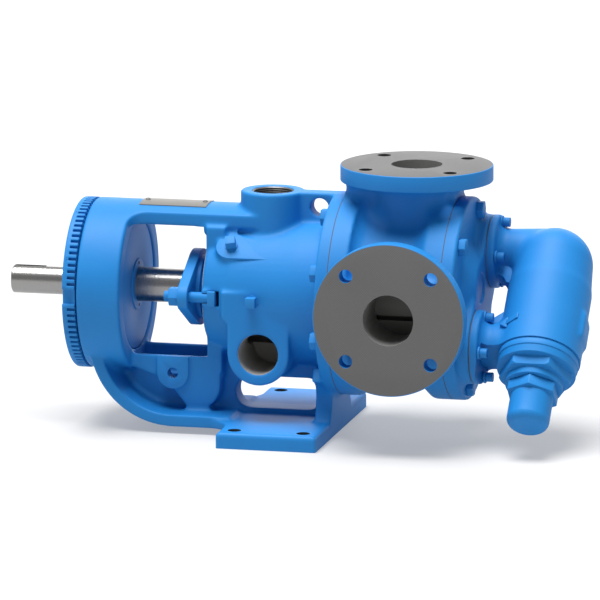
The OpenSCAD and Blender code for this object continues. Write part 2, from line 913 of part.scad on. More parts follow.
// Groove in which the balls run
module ball_track() {
    translate([bearing_x + bearing_w / 2, 0, shaft_h])
        rotate([0, 90, 0])
            rotate_extrude($fn = 96)
                translate([(race_in_r + race_out_r) / 2, 0])
                    circle(r = ball_r + fit, $fn = 32);
}

module ball_places() {
    for (i = [0:ball_count - 1])
        translate([bearing_x + bearing_w / 2, 0, shaft_h])
            rotate([i * 360 / ball_count, 0, 0])
                translate([0, 0, (race_in_r + race_out_r) / 2])
                    children();
}

module bearing_balls() {
    color("silver")
        ball_places()
            sphere(r = ball_r);
}

module bearing_cage() {
    color("darkgoldenrod")
        difference() {
            ring(bearing_x + 5, bearing_w - 10, race_out_r - 2, race_in_r + 2);
            ball_places()
                translate([0, 0, -ball_r])
                    cylinder(r = ball_r + fit, h = 2 * ball_r);
        }
}

module lock_washer() {
    color("silver")
        ring(bearing_x - 1.5, 1.5, 22, bearing_bore_r);
}

module shaft_locknut() {
    color("dimgray")
        difference() {
            ring(bearing_x - 9.5, 8, 22, bearing_bore_r);
            for (a = [0:90:270])
                translate([bearing_x - 10.5, 0, shaft_h])
                    rotate([a, 0, 0])
                        translate([0, -3, 20])
                            cube([12, 6, 5]);
        }
}

module packing_rings() {
    color("black")
        for (i = [0:packing_count - 1])
            ring(packing_x + i * packing_w + 0.1, packing_w - 0.2, stuffing_r, shaft_r + fit);
}

module packing_washer() {
    color("silver")
        ring(stuffing_end - washer_t, washer_t, stuffing_r, shaft_r + 1);
}

// Oval outline of the gland plate
module gland_outline() {
    hull() {
        circle(r = 38.5, $fn = 64);
        for (s = [-1, 1])
            translate([s * gland_bolt_y, 0])
                circle(r = 13, $fn = 32);
    }
}

module gland() {
    color("steelblue")
        difference() {
            union() {
                translate([0, 0, shaft_h])
                    rotate([90, 0, 90])
                        translate([0, 0, gland_x])
                            linear_extrude(gland_t)
                                gland_outline();
                rod(gland_x, nose_end - gland_x - free_gap, stuffing_r - 0.3);
                rod(gland_x + gland_t - cut, 4 + cut, 32);
            }
            rod(gland_x - cut, 80, shaft_r + 0.8);
            for (s = [-1, 1])
                rod(gland_x - cut, gland_t + 8, gland_bolt_r + 0.6, s * gland_bolt_y);
        }
}

module gland_bolts() {
    color("steelblue")
        for (s = [-1, 1]) {
            rod(-117, 117 + slot_end - 4, gland_bolt_r, s * gland_bolt_y);
            translate([slot_x + 0.2, s * gland_bolt_y - 8, shaft_h - 7.5])
                cube([7.8, 16, 15]);
        }
}

module gland_nuts() {
    color("steelblue")
        for (s = [-1, 1])
            difference() {
                hex_rod(gland_x - 10, 10, 17.46, s * gland_bolt_y, 0, 30);
                rod(gland_x - 11, 12, gland_bolt_r + fit, s * gland_bolt_y);
            }
}

module nameplate() {
    color("silver")
        intersection() {
            ring(plate_x, plate_l, barrel_r + plate_t, barrel_r);
            translate([plate_x - cut, -plate_half, shaft_h])
                cube([plate_l + 2 * cut, 2 * plate_half, 2 * barrel_r]);
        }
}

module drive_screws() {
    color("silver")
        for (x = [plate_x + 5, plate_x + plate_l - 5])
            translate([x, 0, shaft_h + barrel_r + plate_t])
                intersection() {
                    translate([0, 0, -1.2])
                        sphere(r = 3);
                    cylinder(r = 4, h = 3);
                }
}

// Square-headed pipe plug: +Z runs out of its hole
module plug() {
    cylinder(r = 6.5, h = 9);
    translate([-4.85, -4.85, 8])
        cube([9.7, 9.7, 10]);
}

module pipe_plugs() {
    color("steelblue") {
        translate([-51.5, 0, shaft_h])
            rotate([41, 0, 0])
                translate([0, 0, 60])
                    rotate(12)
                        plug();
        translate([-25, -side_boss_y + 8, shaft_h])
            rotate([90, 0, 0])
                plug();
    }
}

// Cylinder along the shaft axis inside the valve frame, at place s, from x to the valve axis
module valve_neck(s, r1, r2, from_x, to_x) {
    translate([from_x - valve_x, 0, s])
        rotate([0, 90, 0])
            cylinder(r1 = r1, r2 = r2, h = to_x - from_x);
}

module valve_body() {
    wall = valve_r - valve_bore_r;
    color("steelblue")
        valve_frame()
            difference() {
                union() {
                    rotate_extrude($fn = 96)
                        polygon(concat([[0, body_end_s]],
                            arc(0, elbow_s, elbow_r, -90, 0, 14),
                            [[40.5, -20], [valve_r, -11.6], [valve_r, body_end_s]]));
                    valve_neck(-valve_port_s, neck_r, neck_r + 3, valve_flange_x, valve_x);
                    valve_neck(valve_port_s, neck_r, neck_r + 5.5, valve_flange_x, valve_x - 10);
                    for (s = [-valve_port_s, valve_port_s])
                        valve_neck(s, valve_flange_r, valve_flange_r, valve_flange_x,
                            valve_flange_x + valve_flange_t);
                    // rib between the upper neck and the body
                    translate([0, 4, 0])
                        rotate([90, 0, 0])
                            linear_extrude(8)
                                polygon([[valve_flange_x - valve_x + 4, -valve_port_s + 20],
                                    [-30, -12], [-20, -12], [-20, -valve_port_s]]);
                    // raised pad on the far side
                    translate([valve_r - 5, -14, 20])
                        cube([6.5, 28, 28]);
                }
                // seat of the bonnet
                translate([0, 0, body_end_s])
                    cylinder(r = valve_r + 2, h = 40);
                // chamber over the poppet, the seat and the poppet's bore
                rotate_extrude($fn = 96)
                    polygon(concat([[0, body_end_s + cut]],
                        arc(0, elbow_s, elbow_r - wall, -90, 0, 10),
                        [[elbow_r - wall, seat_s - 8], [valve_bore_r - 4, seat_s - 8],
                            [valve_bore_r - 4, seat_s], [valve_bore_r + fit, seat_s],
                            [valve_bore_r + fit, body_end_s + cut]]));
                valve_neck(-valve_port_s, 16, 16, valve_flange_x - cut, valve_x);
                translate([valve_flange_x - valve_x - cut, 0, valve_port_s])
                    rotate([0, 108, 0])
                        translate([0, 0, -6])
                            cylinder(r = 13, h = 54);
                for (s = [-valve_port_s, valve_port_s], a = [45:90:315])
                    translate([valve_flange_x - valve_x - cut, 0, s])
                        rotate([0, 90, 0])
                            rotate(a)
                                translate([30, 0, 0])
                                    cylinder(r = 4.5, h = valve_flange_t + 2 * cut);
            }
}

module valve_flange_gaskets() {
    color("saddlebrown")
        difference() {
            for (s = [-1, 1])
                rod(head_pad_x, gasket_t, valve_flange_r - 0.3, s * valve_port_yz, s * valve_port_yz);
            for (s = [-1, 1])
                rod(head_pad_x - cut, gasket_t + 2 * cut, 18, s * valve_port_yz, s * valve_port_yz);
            valve_bolt_places()
                translate([0, 0, head_pad_x - cut])
                    cylinder(r = 4.6, h = gasket_t + 2 * cut);
        }
}

module valve_bolt_washers() {
    color("steelblue")
        difference() {
            valve_bolt_places()
                translate([0, 0, valve_flange_x + valve_flange_t])
                    cylinder(r = 6.35, h = 2.3);
            valve_bolt_places()
                translate([0, 0, valve_flange_x])
                    cylinder(r = 4.2, h = 20);
        }
}

module valve_bolts() {
    color("steelblue")
        valve_bolt_places() {
            translate([0, 0, head_pad_x - 14])
                cylinder(r = 4, h = 14 + gasket_t + valve_flange_t + 3);
            translate([0, 0, valve_flange_x + valve_flange_t + 2.3])
                cylinder(r = 4.75, h = 7);
        }
}

module valve_seat() {
    color("silver")
        valve_frame()
            translate([0, 0, seat_s - 8])
                difference() {
                    cylinder(r = valve_bore_r - 4, h = 8, $fn = 96);
                    translate([0, 0, -cut])
                        cylinder(r = seat_r, h = 8 + 2 * cut, $fn = 96);
                }
}

module poppet() {
    skirt = 30;
    nose = 12;
    passage_r = 5;
    color("silver")
        valve_frame()
            translate([0, 0, poppet_s])
                difference() {
                    rotate_extrude($fn = 96)
                        polygon([[0, 0], [valve_bore_r - 6, 0], [valve_bore_r - 5, 1],
                            [valve_bore_r - 5, nose], [valve_bore_r - fit, nose + 2],
                            [valve_bore_r - fit, skirt], [valve_bore_r - 5, skirt],
                            [valve_bore_r - 5, spring_s - poppet_s], [0, spring_s - poppet_s]]);
                    for (a = [45:90:315])
                        rotate(a)
                            translate([valve_bore_r - 1, 0, -cut])
                                cylinder(r = passage_r, h = skirt + 2 * cut);
                }
}

// Coil of the relief spring
module relief_spring() {
    rings_n = 16 * spring_turns;
    sides = 8;
    length = spring_end - spring_s - 2 * wire_r;
    points = [for (i = [0:rings_n], k = [0:sides - 1])
        let (a = i * 360 * spring_turns / rings_n, r = spring_r + wire_r * cos(k * 360 / sides))
        [r * cos(a), r * sin(a), spring_s + wire_r + length * i / rings_n + wire_r * sin(k * 360 / sides)]];
    walls = [for (i = [0:rings_n - 1], k = [0:sides - 1])
        [i * sides + k, i * sides + (k + 1) % sides,
            (i + 1) * sides + (k + 1) % sides, (i + 1) * sides + k]];
    color("dimgray")
        valve_frame()
            polyhedron(points, concat(walls,
                [[for (k = [sides - 1:-1:0]) k]], [[for (k = [0:sides - 1]) rings_n * sides + k]]));
}

module spring_guide() {
    color("silver")
        valve_frame()
            translate([0, 0, guide_s + 0.05])
                rotate_extrude($fn = 64)
                    polygon([[0, -8], [spring_r - wire_r - 1, -8], [spring_r - wire_r - 1, 0],
                        [spring_r + wire_r, 0], [spring_r + wire_r, 5], [0, 5]]);
}

module adjusting_screw() {
    color("silver")
        valve_frame()
            difference() {
                translate([0, 0, guide_s + 5.1])
                    cylinder(r = screw_r, h = 50);
                translate([-1.2, -screw_r - cut, guide_s + 52])
                    cube([2.4, 2 * screw_r + 2 * cut, 5]);
            }
}

module screw_lock_nut() {
    color("silver")
        valve_frame()
            translate([0, 0, collar_end])
                difference() {
                    cylinder(r = 12, h = 8, $fn = 6);
                    translate([0, 0, -cut])
                        cylinder(r = screw_r + fit, h = 10);
                }
}

module bonnet_gasket() {
    color("saddlebrown")
        valve_frame()
            translate([0, 0, body_end_s])
                difference() {
                    cylinder(r = 40, h = gasket_t, $fn = 96);
                    translate([0, 0, -cut])
                        cylinder(r = valve_bore_r + 0.5, h = gasket_t + 2 * cut, $fn = 96);
                }
}

module bonnet() {
    color("steelblue")
        valve_frame()
            difference() {
                union() {
                    translate([0, 0, bonnet_s])
                        cylinder(r = 40.5, h = 6.7, $fn = 96);
                    translate([0, 0, bonnet_s])
                        cylinder(r = 39.5, h = bonnet_hex_s - bonnet_s, $fn = 96);
                    intersection() {
                        translate([0, 0, bonnet_hex_s - cut])
                            cylinder(r = 63.5 / sqrt(3), h = bonnet_hex_end - bonnet_hex_s + cut, $fn = 6);
                        translate([0, 0, bonnet_hex_s - cut])
                            cylinder(r1 = 44, r2 = 34.5, h = bonnet_hex_end - bonnet_hex_s + cut, $fn = 96);
                    }
                    translate([0, 0, bonnet_hex_end - cut])
                        cylinder(r = 28.5, h = collar_end - bonnet_hex_end + cut);
                }
                translate([0, 0, bonnet_s - cut])
                    cylinder(r = 27, h = bonnet_hex_end - bonnet_s - 5);
                translate([0, 0, bonnet_s])
                    cylinder(r = screw_r + fit, h = 60);
            }
}

module cap_gasket() {
    color("saddlebrown")
        valve_frame()
            translate([0, 0, collar_end])
                difference() {
                    cylinder(r = 22, h = gasket_t);
                    translate([0, 0, -cut])
                        cylinder(r = 16, h = gasket_t + 2 * cut);
                }
}

module valve_cap() {
    color("steelblue")
        valve_frame()
            difference() {
                union() {
                    translate([0, 0, cap_s])
                        rotate(30)
                            cylinder(r = 46.4 / sqrt(3), h = cap_hex_end - cap_s, $fn = 6);
                    rotate_extrude($fn = 64)
                        polygon(concat([[0, cap_s], [21.3, cap_s]],
                            arc(13.3, cap_end - 8, 8, 0, 90, 6), [[0, cap_end]]));
                }
                translate([0, 0, cap_s - cut])
                    cylinder(r = 15, h = cap_end - cap_s - 6);
            }
}

bracket();
bracket_bushing();
casing();
head();
bracket_gasket();
head_gasket();
bracket_bolts();
head_bolts();
shaft();
rotor();
idler();
idler_bushing();
idler_pin();
bearing_carrier();
bearing_end_cap();
outboard_seal();
inboard_seal();
bearing_outer_race();
bearing_inner_race();
bearing_balls();
bearing_cage();
shaft_locknut();
lock_washer();
carrier_set_screws();
packing_rings();
packing_washer();
gland();
gland_bolts();
gland_nuts();
nameplate();
drive_screws();
pipe_plugs();
valve_body();
valve_flange_gaskets();
valve_bolt_washers();
valve_bolts();
valve_seat();
poppet();
relief_spring();
spring_guide();
adjusting_screw();
screw_lock_nut();
bonnet_gasket();
bonnet();
cap_gasket();
valve_cap();
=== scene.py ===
"""Looks of an internal gear pump: painted castings, machined faces, bright shaft and a studio around them."""

import math

import bpy
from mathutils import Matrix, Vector


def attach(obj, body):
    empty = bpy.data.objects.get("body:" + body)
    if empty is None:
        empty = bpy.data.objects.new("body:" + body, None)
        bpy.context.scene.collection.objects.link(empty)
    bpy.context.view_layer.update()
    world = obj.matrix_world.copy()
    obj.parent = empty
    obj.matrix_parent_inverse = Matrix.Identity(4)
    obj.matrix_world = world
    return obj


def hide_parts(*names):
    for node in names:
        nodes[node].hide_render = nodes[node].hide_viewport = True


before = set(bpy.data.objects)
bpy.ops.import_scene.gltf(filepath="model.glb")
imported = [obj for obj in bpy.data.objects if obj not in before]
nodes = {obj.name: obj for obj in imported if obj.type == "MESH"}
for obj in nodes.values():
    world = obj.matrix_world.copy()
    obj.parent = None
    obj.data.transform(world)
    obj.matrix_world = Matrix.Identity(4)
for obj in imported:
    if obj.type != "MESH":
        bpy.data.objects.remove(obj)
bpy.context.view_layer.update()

MM = 0.001

# Sizes and places of the pump in millimetres, on the frame's axes

SHAFT = 139.7
FLANGE_R = 101.6
BOLT_CIRCLE = 88.9
BOLT_SEAT_R = 5.6
CASING_X = 57.2
BORE_R = 76.3
HEAD_X = 171.8
HEAD_T = 12.7
PIN_OFFSET = 13.47
PIN_R = 14.29
PAD_X = 196.8
VALVE_FACE_X = 197.6
VALVE_X = 261.6
VALVE_PORT = 40.8
VALVE_AXIS = Vector((0, -1, -1)).normalized()
PORT = 127.6
REACH = 133.35
PORT_R = 25.4
PORT_FLANGE_R = 76.2
PORT_FLANGE_T = 15.9
PORT_HOLE_R = 6.8
PORT_HOLE_AT = 120.65 / 2 * math.sqrt(0.5)
FOOT_HALF_X = 50.8
FOOT_HALF_Y = 117.5
FOOT_T = 15.9
FOOT_HOLE_X = 69.85 / 2
FOOT_HOLE_Y = 203.2 / 2
FOOT_HOLE_R = 6.75
BARREL_END = -201.5
BARREL_BORE_R = 65.95
RAIL_HALF = 31.75
BOX_X = -79.4
BOX_BORE_R = 27
WINDOW_LIP_X = -82.7
WINDOW_FLOOR = 74.3
WINDOW_TOP = 198.7
JACKET_X = -19.2
JACKET_PORT_R = 20.35
JACKET_TOP = 101.1
SIDE_PORT_DROP = 53.7
DRAIN_X = -114
DRAIN_Z = 57.3
DRAIN_R = 5.5
DRAIN_BOSS_R = 15.9
PLUG_X = -51.5
PLUG_LEAN = math.radians(41)
PLUG_WAY = Vector((0, -math.sin(PLUG_LEAN), math.cos(PLUG_LEAN)))
FRONT_PLUG_X = -25
PLUG_R = 7
PAST = 9
FAR = 400


# Node helpers


def new_tree_node(tree, kind, place=(0, 0), **values):
    """Adds a shader node and sets its properties, and its inputs by name."""
    node = tree.nodes.new(kind)
    node.location = place
    for name, value in values.items():
        if hasattr(node, name):
            setattr(node, name, value)
        else:
            node.inputs[name.replace("_", " ").title()].default_value = value
    return node


def make_group(name, inputs, outputs):
    """Starts a shader node group with named sockets."""
    group = bpy.data.node_groups.new(name, "ShaderNodeTree")
    for socket, kind, value in inputs:
        made = group.interface.new_socket(socket, in_out="INPUT", socket_type=kind)
        made.default_value = value
    for socket, kind in outputs:
        group.interface.new_socket(socket, in_out="OUTPUT", socket_type=kind)
    group_in = group.nodes.new("NodeGroupInput")
    group_out = group.nodes.new("NodeGroupOutput")
    group_in.location = (-900, 0)
    group_out.location = (700, 0)
    return group, group_in, group_out


FLOAT = "NodeSocketFloat"


def sand_cast_group():
    """Height and mottling of a sand-cast surface under paint."""
    group, gin, gout = make_group(
        "sand_cast",
        [("Grain Size", FLOAT, 500.0), ("Swell Size", FLOAT, 30.0), ("Grain", FLOAT, 0.5)],
        [("Height", FLOAT), ("Mottle", FLOAT)],
    )
    links = group.links
    coords = new_tree_node(group, "ShaderNodeTexCoord", (-900, -300))
    grain = new_tree_node(group, "ShaderNodeTexNoise", (-600, 100), Detail=3.0, Roughness=0.6)
    swell = new_tree_node(group, "ShaderNodeTexNoise", (-600, -200), Detail=2.0, Roughness=0.5)
    links.new(coords.outputs["Object"], grain.inputs["Vector"])
    links.new(coords.outputs["Object"], swell.inputs["Vector"])
    links.new(gin.outputs["Grain Size"], grain.inputs["Scale"])
    links.new(gin.outputs["Swell Size"], swell.inputs["Scale"])
    mix = new_tree_node(group, "ShaderNodeMix", (-200, 0), data_type="FLOAT")
    links.new(gin.outputs["Grain"], mix.inputs[0])
    links.new(swell.outputs["Fac"], mix.inputs[2])
    links.new(grain.outputs["Fac"], mix.inputs[3])
    links.new(mix.outputs[0], gout.inputs["Height"])
    links.new(swell.outputs["Fac"], gout.inputs["Mottle"])
    return group


def edge_wear_group():
    """Mask of the edges that stand proud, broken up by noise."""
    group, gin, gout = make_group(
        "edge_wear",
        [("Sharpness", FLOAT, 12.0), ("Amount", FLOAT, 0.3)],
        [("Mask", FLOAT)],
    )
    links = group.links
    geometry = new_tree_node(group, "ShaderNodeNewGeometry", (-900, -200))
    coords = new_tree_node(group, "ShaderNodeTexCoord", (-900, -450))
    noise = new_tree_node(group, "ShaderNodeTexNoise", (-600, -400), Scale=160.0, Detail=4.0)
    links.new(coords.outputs["Object"], noise.inputs["Vector"])
    proud = new_tree_node(group, "ShaderNodeMath", (-600, -150), operation="SUBTRACT")
    links.new(geometry.outputs["Pointiness"], proud.inputs[0])
    proud.inputs[1].default_value = 0.5
    scaled = new_tree_node(group, "ShaderNodeMath", (-400, -100), operation="MULTIPLY")
    links.new(proud.outputs[0], scaled.inputs[0])
    links.new(gin.outputs["Sharpness"], scaled.inputs[1])
    broken = new_tree_node(group, "ShaderNodeMath", (-200, -150), operation="MULTIPLY", use_clamp=True)
    links.new(scaled.outputs[0], broken.inputs[0])
    links.new(noise.outputs["Fac"], broken.inputs[1])
    final = new_tree_node(group, "ShaderNodeMath", (100, -100), operation="MULTIPLY", use_clamp=True)
    links.new(broken.outputs[0], final.inputs[0])
    links.new(gin.outputs["Amount"], final.inputs[1])
    links.new(final.outputs[0], gout.inputs["Mask"])
    return group


def turning_marks_group():
    """Fine rings or strokes that a cutting tool leaves along one axis."""
    group, gin, gout = make_group(
        "turning_marks",
        [("Scale " + axis, FLOAT, 1.0) for axis in "XYZ"] + [("Density", FLOAT, 900.0)],
        [("Height", FLOAT)],
    )
    links = group.links
    coords = new_tree_node(group, "ShaderNodeTexCoord", (-900, -300))
    stretch = new_tree_node(group, "ShaderNodeCombineXYZ", (-700, 0))
    for axis in "XYZ":
        links.new(gin.outputs["Scale " + axis], stretch.inputs[axis])
    scaled = new_tree_node(group, "ShaderNodeVectorMath", (-500, -100), operation="MULTIPLY")
    links.new(coords.outputs["Object"], scaled.inputs[0])
    links.new(stretch.outputs[0], scaled.inputs[1])
    noise = new_tree_node(group, "ShaderNodeTexNoise", (-200, -100), Detail=2.0)
    links.new(scaled.outputs[0], noise.inputs["Vector"])
    links.new(gin.outputs["Density"], noise.inputs["Scale"])
    links.new(noise.outputs["Fac"], gout.inputs["Height"])
    return group


SAND_CAST = sand_cast_group()
EDGE_WEAR = edge_wear_group()
TURNING_MARKS = turning_marks_group()


def place_group(material, group, **values):
    """Puts a node group into a material, with its own values."""
    node = material.node_tree.nodes.new("ShaderNodeGroup")
    node.node_tree = group
    for name, value in values.items():
        node.inputs[name.replace("_", " ").title()].default_value = value
    return node


def start_material(name, colour, roughness, metallic=0.0):
    """A new material with its shader's own plain values set."""
    material = bpy.data.materials.new(name)
    material.use_nodes = True
    shader = material.node_tree.nodes["Principled BSDF"]
    shader.inputs["Base Color"].default_value = (*colour, 1)
    shader.inputs["Roughness"].default_value = roughness
    shader.inputs["Metallic"].default_value = metallic
    shader.inputs["Specular IOR Level"].default_value = 0.3
    return material, shader


def add_bump(material, height, strength, distance):
    """Feeds a height into the shader's normal."""
    links = material.node_tree.links
    bump = material.node_tree.nodes.new("ShaderNodeBump")
    bump.inputs["Strength"].default_value = strength
    bump.inputs["Distance"].default_value = distance
    links.new(height, bump.inputs["Height"])
    links.new(bump.outputs["Normal"], material.node_tree.nodes["Principled BSDF"].inputs["Normal"])


def mix_colour(material, factor, colour_a, colour_b, target):
    """Mixes two colours by a mask into a socket."""
    mix = material.node_tree.nodes.new("ShaderNodeMix")
    mix.data_type = "RGBA"
    mix.inputs[6].default_value = (*colour_a, 1)
    mix.inputs[7].default_value = (*colour_b, 1)
    material.node_tree.links.new(factor, mix.inputs[0])
    material.node_tree.links.new(mix.outputs[2], target)


def spread_roughness(material, factor, low, high):
    """Maps a mask to a range of roughness."""
    spread = material.node_tree.nodes.new("ShaderNodeMapRange")
    spread.inputs["To Min"].default_value = low
    spread.inputs["To Max"].default_value = high
    material.node_tree.links.new(factor, spread.inputs["Value"])
    shader = material.node_tree.nodes["Principled BSDF"]
    material.node_tree.links.new(spread.outputs[0], shader.inputs["Roughness"])


def paint_material(name, grain=0.5, bump=0.25):
    """Satin blue enamel over cast iron, thinner and paler on proud edges."""
    material, shader = start_material(name, PAINT, 0.57)
    links = material.node_tree.links
    cast = place_group(material, SAND_CAST, grain_size=620.0, swell_size=26.0, grain=grain)
    wear = place_group(material, EDGE_WEAR, sharpness=9.0, amount=0.35)
    worn = material.node_tree.nodes.new("ShaderNodeMix")
    worn.data_type = "RGBA"
    worn.inputs[7].default_value = (*PAINT_WORN, 1)
    mix_colour(material, cast.outputs["Mottle"], PAINT_DEEP, PAINT, worn.inputs[6])
    links.new(wear.outputs["Mask"], worn.inputs[0])
    links.new(worn.outputs[2], shader.inputs["Base Color"])
    spread_roughness(material, cast.outputs["Mottle"], 0.5, 0.64)
    add_bump(material, cast.outputs["Height"], bump, 0.0006)
    return material


def metal_material(name, colour, roughness, scales=(1, 1, 1), metallic=1.0, bump=0.08, density=900.0):
    """Bare metal with the marks of its cutting tool, drawn out where the scales differ."""
    material, shader = start_material(name, colour, roughness, metallic)
    marks = place_group(
        material, TURNING_MARKS, scale_x=scales[0], scale_y=scales[1], scale_z=scales[2], density=density
    )
    darker = tuple(c * 0.82 for c in colour)
    mix_colour(material, marks.outputs["Height"], darker, colour, shader.inputs["Base Color"])
    spread_roughness(material, marks.outputs["Height"], roughness * 0.8, roughness * 1.25)
    add_bump(material, marks.outputs["Height"], bump, 0.0003)
    return material


def add_hatch(material, scale, depth):
    """Fine slanting strokes of the milled front face, as a faint change of colour."""
    tree = material.node_tree
    shader = tree.nodes["Principled BSDF"]
    source = shader.inputs["Base Color"].links[0].from_socket
    coords = tree.nodes.new("ShaderNodeTexCoord")
    turn = tree.nodes.new("ShaderNodeMapping")
    turn.inputs["Scale"].default_value = (-1, 0, 1)
    wave = tree.nodes.new("ShaderNodeTexWave")
    wave.bands_direction = "DIAGONAL"
    wave.inputs["Scale"].default_value = scale
    wave.inputs["Distortion"].default_value = 0.6
    mix = tree.nodes.new("ShaderNodeMix")
    mix.data_type = "RGBA"
    mix.blend_type = "MULTIPLY"
    mix.inputs[0].default_value = depth
    tree.links.new(coords.outputs["Object"], turn.inputs["Vector"])
    tree.links.new(turn.outputs[0], wave.inputs["Vector"])
    tree.links.new(source, mix.inputs[6])
    tree.links.new(wave.outputs["Color"], mix.inputs[7])
    tree.links.new(mix.outputs[2], shader.inputs["Base Color"])


def soft_material(name, colour, roughness, scale=900.0, bump=0.3):
    """Matt pieces such as gaskets, seals, packing and carbon."""
    material, shader = start_material(name, colour, roughness)
    cast = place_group(material, SAND_CAST, grain_size=scale, swell_size=60.0, grain=0.7)
    darker = tuple(c * 0.7 for c in colour)
    mix_colour(material, cast.outputs["Height"], darker, colour, shader.inputs["Base Color"])
    add_bump(material, cast.outputs["Height"], bump, 0.0003)
    return material


PAINT = (0.010, 0.205, 0.56)
PAINT_DEEP = (0.008, 0.18, 0.50)
PAINT_WORN = (0.045, 0.24, 0.56)
PAINT_MATERIAL = paint_material("blue_paint")
PAINT_SMOOTH = paint_material("blue_paint_smooth", grain=0.2, bump=0.08)
MACHINED_IRON = metal_material(
    "machined_iron", (0.17, 0.17, 0.165), 0.5, metallic=0.35, bump=0.15, density=700.0
)
# Machined iron of the port faces in two shades: the top face is made darker than the front face, painted
# shade that offsets the overhead light falling on it; the front face's hatch is its own milling pattern.
PORT_FACE_IRONS_WITH_PAINTED_SHADE = {
    "top": metal_material("top_face_iron_painted_shade", (0.13, 0.13, 0.13), 0.6, metallic=0.2, bump=0.1, density=700.0),
    "front": metal_material(
        "front_face_iron", (0.165, 0.165, 0.165), 0.6, metallic=0.2, bump=0.1, density=700.0
    ),
}
add_hatch(PORT_FACE_IRONS_WITH_PAINTED_SHADE["front"], scale=260, depth=0.18)
THREADED_IRON = metal_material(
    "threaded_iron", (0.17, 0.17, 0.17), 0.45, metallic=0.5, bump=0.1, density=500.0
)
# Near-black walls of the bolt holes in the foot and the top flange: painted shade where the holes fall into
# shadow.
HOLE_PAINTED_SHADE = metal_material("hole_painted_shade", (0.03, 0.03, 0.03), 0.6, metallic=0.0, bump=0.1, density=500.0)
PORT_WALL = metal_material("dark_bore", (0.25, 0.25, 0.245), 0.5, metallic=0.2, bump=0.2, density=500.0)
JACKET_IRON = metal_material("jacket_iron", (0.36, 0.355, 0.34), 0.6, metallic=0.0, bump=0.2, density=500.0)
GROUND_STEEL = metal_material("ground_steel", (0.34, 0.335, 0.33), 0.27, scales=(12, 0.6, 0.6))
BRIGHT_STEEL = metal_material("bright_steel", (0.55, 0.54, 0.52), 0.28)
BRASS = metal_material("cage_brass", (0.6, 0.42, 0.17), 0.35)
BARE_PLATE = metal_material("bare_aluminium", (0.22, 0.215, 0.2), 0.5, scales=(0.4, 6, 6), metallic=0.8)
GASKET = soft_material("gasket_paper", (0.13, 0.115, 0.1), 0.85)
RUBBER = soft_material("seal_rubber", (0.02, 0.02, 0.02), 0.6)
PACKING = soft_material("packing_braid", (0.04, 0.04, 0.04), 0.8, scale=500.0, bump=0.6)
CARBON = soft_material("carbon_graphite", (0.04, 0.04, 0.042), 0.5)

FINISHES = {
    PAINT_MATERIAL: ["bracket", "casing", "head", "valve_body"],
    PAINT_SMOOTH: [
        "bearing_carrier", "bearing_end_cap", "gland", "bonnet", "valve_cap", "bracket_bolts", "head_bolts",
        "gland_bolts", "gland_nuts", "pipe_plugs", "valve_bolts", "valve_bolt_washers", "inboard_seal",
        "bonnet_gasket", "cap_gasket",
    ],
    GROUND_STEEL: ["shaft", "idler_pin"],
    BRIGHT_STEEL: [
        "bearing_outer_race", "bearing_inner_race", "bearing_balls", "lock_washer", "packing_washer",
        "valve_seat", "poppet", "spring_guide", "adjusting_screw", "screw_lock_nut",
        "carrier_set_screws", "shaft_locknut", "relief_spring",
    ],
    MACHINED_IRON: ["rotor", "idler", "drive_screws"],
    CARBON: ["bracket_bushing", "idler_bushing"],
    BRASS: ["bearing_cage"],
    GASKET: ["bracket_gasket", "head_gasket", "valve_flange_gaskets"],
    RUBBER: ["outboard_seal"],
    PACKING: ["packing_rings"],
    BARE_PLATE: ["nameplate"],
}


def dress(piece, material):
    """Gives a piece one material all over."""
    piece.data.materials.clear()
    piece.data.materials.append(material)


for finish, names in FINISHES.items():
    for name in names:
        dress(nodes[name], finish)


# Castings: the CAD form with filleted corners, then machined


def select_only(piece):
    """Makes one piece the only selected and active object."""
    bpy.ops.object.select_all(action="DESELECT")
    piece.select_set(True)
    bpy.context.view_layer.objects.active = piece


def apply_modifier(piece, kind, **settings):
    """Adds a modifier to a piece and applies it."""
    select_only(piece)
    modifier = piece.modifiers.new(kind.lower(), kind)
    for name, value in settings.items():
        setattr(modifier, name, value)
    bpy.ops.object.modifier_apply(modifier=modifier.name)


def copy_node(node_name, name):
    """A free copy of a CAD node with its loose triangles merged."""
    piece = bpy.data.objects.new(name, nodes[node_name].data.copy())
    bpy.context.scene.collection.objects.link(piece)
    select_only(piece)
    bpy.ops.object.mode_set(mode="EDIT")
    bpy.ops.mesh.select_all(action="SELECT")
    bpy.ops.mesh.remove_doubles(threshold=0.002 * MM)
    bpy.ops.object.mode_set(mode="OBJECT")
    piece.data.materials.clear()
    return piece


def rod(start, end, radius, sides=64):
    """Round bar between two points, in millimetres, as filler or cutter."""
    start = Vector(start) * MM
    end = Vector(end) * MM
    way = end - start
    bpy.ops.mesh.primitive_cylinder_add(
        vertices=sides, radius=radius * MM, depth=way.length, location=(start + end) / 2,
        rotation=way.to_track_quat("Z", "Y").to_euler(),
    )
    piece = bpy.context.object
    bpy.ops.object.transform_apply(location=True, rotation=True, scale=True)
    return piece


def block(low_corner, high_corner):
    """Box between two corners, in millimetres, as filler or cutter."""
    low_corner = Vector(low_corner) * MM
    high_corner = Vector(high_corner) * MM
    bpy.ops.mesh.primitive_cube_add(size=1, location=(low_corner + high_corner) / 2)
    piece = bpy.context.object
    piece.scale = high_corner - low_corner
    bpy.ops.object.transform_apply(location=True, rotation=True, scale=True)
    return piece


def join_pieces(piece, others):
    """Joins other pieces into one."""
    select_only(piece)
    for other in others:
        other.select_set(True)
    bpy.ops.object.join()
    return piece


